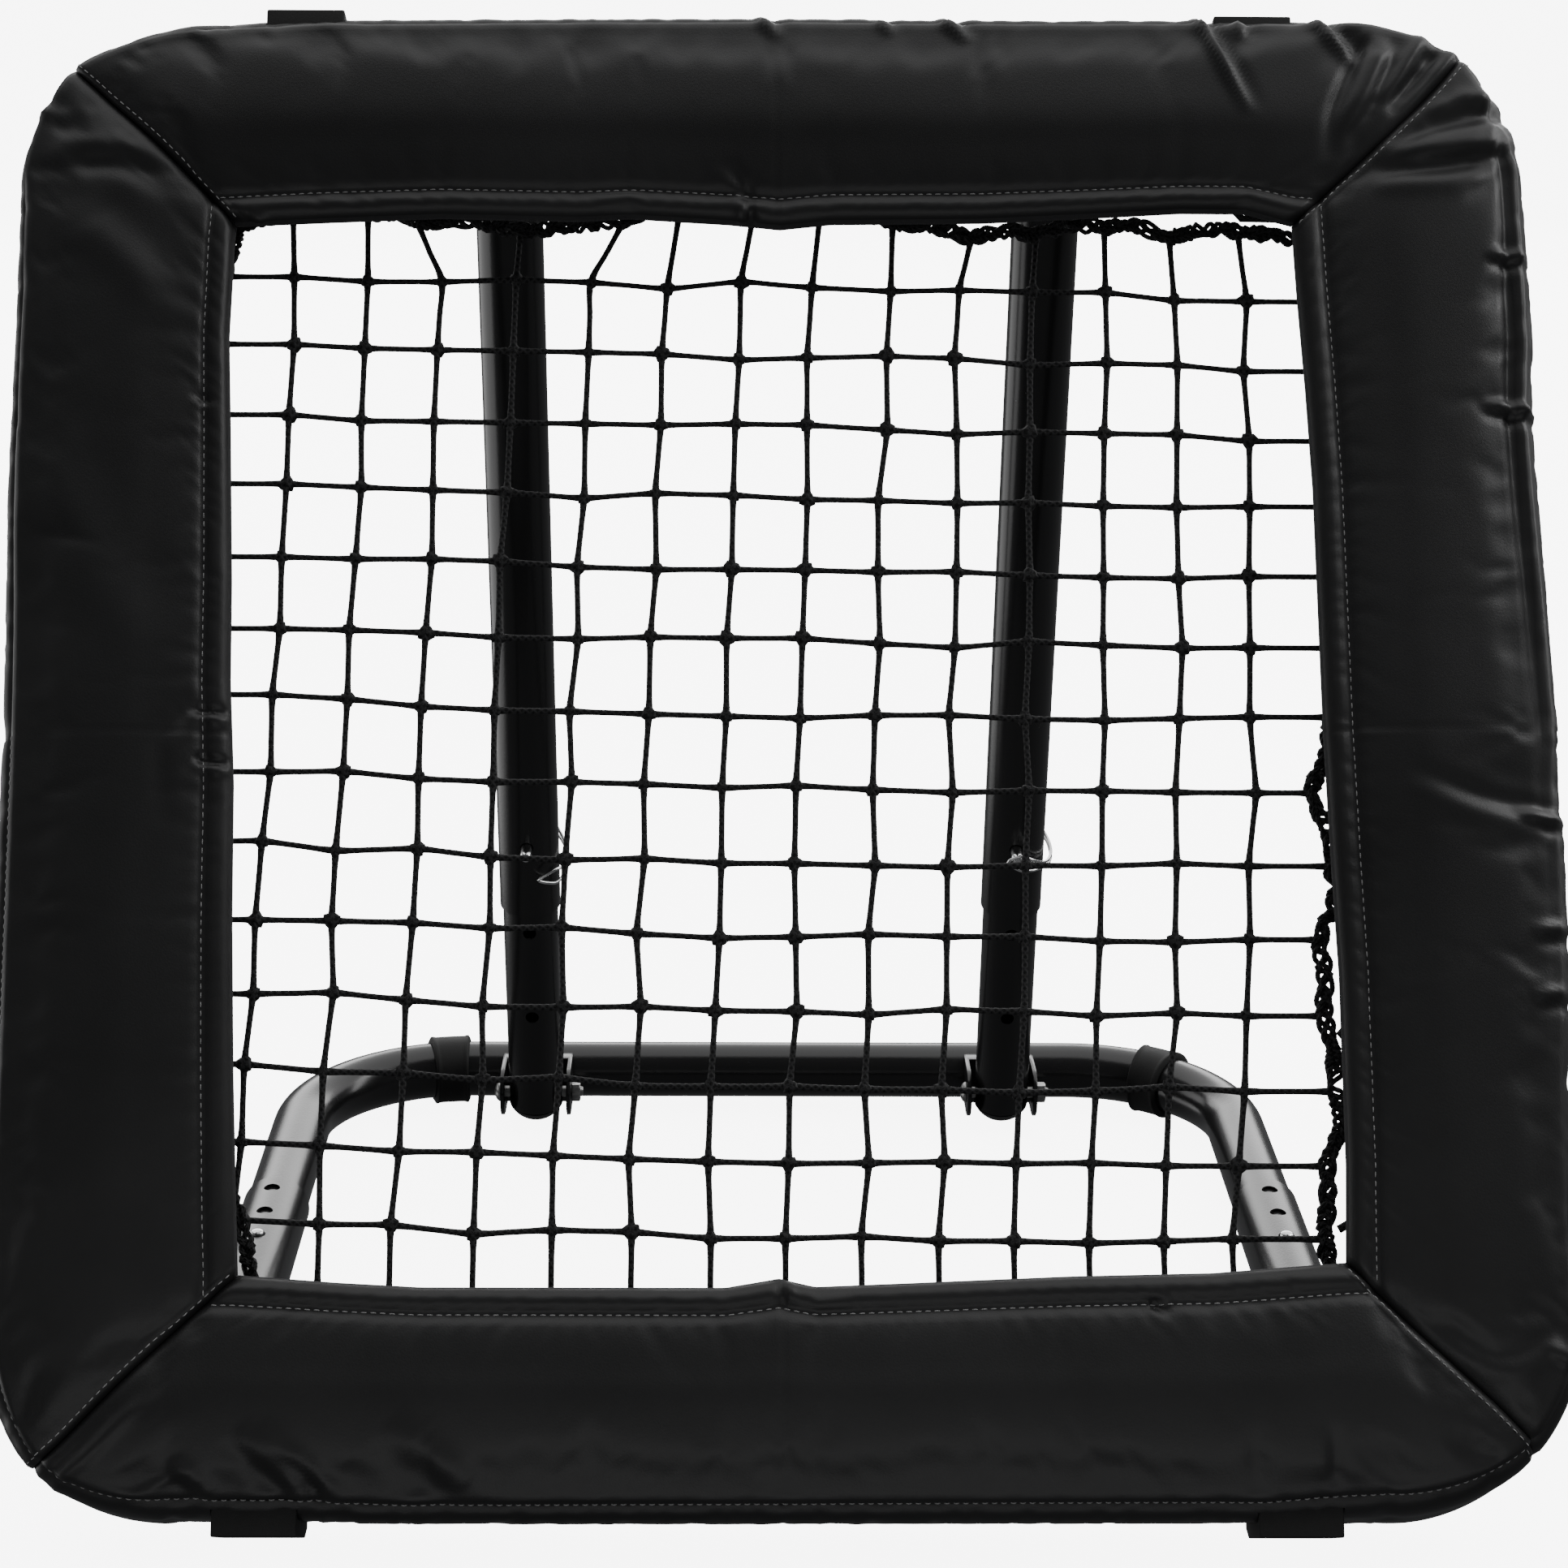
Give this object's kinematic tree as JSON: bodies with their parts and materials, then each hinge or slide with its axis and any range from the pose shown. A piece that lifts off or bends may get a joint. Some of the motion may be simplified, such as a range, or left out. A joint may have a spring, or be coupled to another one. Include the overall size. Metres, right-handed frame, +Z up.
{
  "type": "rebounder net",
  "caption": "Square ball rebounder: a laced net in a padded tube frame, hinged on a folding tubular base and propped by two pinned telescoping struts.",
  "frame": {"origin": "on the floor, under the middle of the whole footprint", "axes": "+X along the net's width, to the right of someone facing the net; +Z up; the net faces -Y and leans back towards +Y"},
  "size_m": [0.8878, 0.707, 0.8037],
  "materials": {
    "black_paint": "glossy black powder coat",
    "vinyl": "satin black coated cover over foam",
    "rubber": "matt moulded",
    "cord": "braided black cord",
    "webbing": "woven",
    "zinc": "zinc plated",
    "chrome": "polished",
    "plastic": "satin moulded"
  },
  "bodies": {
    "base": {"rear_base_tube": "black_paint", "front_leg_left": "black_paint", "front_leg_right": "black_paint", "leg_fork_left": "black_paint", "leg_fork_right": "black_paint", "hinge_bolt_left": "zinc", "hinge_bolt_right": "zinc", "hinge_nut_left": "zinc", "hinge_nut_right": "zinc", "rear_foot_left": "rubber", "rear_foot_right": "rubber", "strut_bracket_lower_left": "black_paint", "strut_bracket_lower_right": "black_paint", "strut_foot_bolt_left": "zinc", "strut_foot_bolt_right": "zinc", "strut_foot_nut_left": "zinc", "strut_foot_nut_right": "zinc"},
    "frame": {"frame_tube_upper": "black_paint", "frame_tube_lower": "black_paint", "net_mesh": "cord", "net_border_rope": "cord", "bungee_lacing": "cord", "frame_joiner_left": "black_paint", "frame_joiner_right": "black_paint", "hinge_lug_left": "black_paint", "hinge_lug_right": "black_paint", "foot_block_upper_left": "rubber", "foot_block_upper_right": "rubber", "foot_block_lower_left": "rubber", "foot_block_lower_right": "rubber", "pad_top": "vinyl", "pad_bottom": "vinyl", "pad_left": "vinyl", "pad_right": "vinyl", "pad_strap_top_a": "webbing", "pad_strap_top_b": "webbing", "pad_strap_bottom_a": "webbing", "pad_strap_bottom_b": "webbing", "pad_strap_left_a": "webbing", "pad_strap_left_b": "webbing", "pad_strap_right_a": "webbing", "pad_strap_right_b": "webbing", "strut_bracket_upper_left": "black_paint", "strut_bracket_upper_right": "black_paint", "strut_top_bolt_left": "zinc", "strut_top_bolt_right": "zinc", "strut_top_nut_left": "zinc", "strut_top_nut_right": "zinc"},
    "strut_lower_left": {"strut_lower_tube_left": "black_paint", "strut_end_plug_left": "plastic"},
    "strut_upper_left": {"strut_upper_tube_left": "black_paint"},
    "pin_left": {"lock_pin_left": "chrome"},
    "bail_left": {"pin_bail_left": "chrome"},
    "button_left": {"leg_button_left": "chrome"},
    "strut_lower_right": {"strut_lower_tube_right": "black_paint", "strut_end_plug_right": "plastic"},
    "strut_upper_right": {"strut_upper_tube_right": "black_paint"},
    "pin_right": {"lock_pin_right": "chrome"},
    "bail_right": {"pin_bail_right": "chrome"},
    "button_right": {"leg_button_right": "chrome"}
  },
  "joints": [
    {"name": "frame_tilt", "type": "hinge", "parent": "base", "child": "frame", "pos_m": [0, -0.26722, 0.024], "axis": [1, 0, 0], "range_deg": [0, 15]},
    {"name": "strut_swing_left", "type": "hinge", "parent": "base", "child": "strut_lower_left", "pos_m": [-0.1685, 0.28278, 0.025], "axis": [1, 0, 0], "range_deg": [0, 11.63]},
    {"name": "strut_slide_left", "type": "slide", "parent": "strut_lower_left", "child": "strut_upper_left", "axis": [0, -0.2162, 0.9763], "range_m": [0, 0.1366]},
    {"name": "pin_pull_left", "type": "slide", "parent": "strut_upper_left", "child": "pin_left", "axis": [0, 0.9763, 0.2162], "range_m": [0, 0.058]},
    {"name": "bail_swing_left", "type": "hinge", "parent": "pin_left", "child": "bail_left", "pos_m": [-0.1685, 0.26195, 0.24162], "axis": [0, -0.2162, 0.9763], "range_deg": [0, 110]},
    {"name": "button_press_left", "type": "slide", "parent": "base", "child": "button_left", "axis": [0, 0, -1], "range_m": [0, 0.004], "stiffness_N_per_m": 400},
    {"name": "strut_swing_right", "type": "hinge", "parent": "base", "child": "strut_lower_right", "pos_m": [0.1685, 0.28278, 0.025], "axis": [1, 0, 0], "range_deg": [0, 11.63]},
    {"name": "strut_slide_right", "type": "slide", "parent": "strut_lower_right", "child": "strut_upper_right", "axis": [0, -0.2162, 0.9763], "range_m": [0, 0.1366]},
    {"name": "pin_pull_right", "type": "slide", "parent": "strut_upper_right", "child": "pin_right", "axis": [0, 0.9763, 0.2162], "range_m": [0, 0.058]},
    {"name": "bail_swing_right", "type": "hinge", "parent": "pin_right", "child": "bail_right", "pos_m": [0.1685, 0.26195, 0.24162], "axis": [0, -0.2162, 0.9763], "range_deg": [0, 110]},
    {"name": "button_press_right", "type": "slide", "parent": "base", "child": "button_right", "axis": [0, 0, -1], "range_m": [0, 0.004], "stiffness_N_per_m": 400}
  ],
  "couplings": [
    {"joint": "strut_swing_left", "follows": "frame_tilt", "ratio": 0.77476},
    {"joint": "strut_slide_left", "follows": "frame_tilt", "m_per_rad": 0.52124},
    {"joint": "bail_swing_left", "follows": "pin_pull_left", "rad_per_m": 33},
    {"joint": "strut_swing_right", "follows": "frame_tilt", "ratio": 0.77476},
    {"joint": "strut_slide_right", "follows": "frame_tilt", "m_per_rad": 0.52124},
    {"joint": "bail_swing_right", "follows": "pin_pull_right", "rad_per_m": 33}
  ]
}
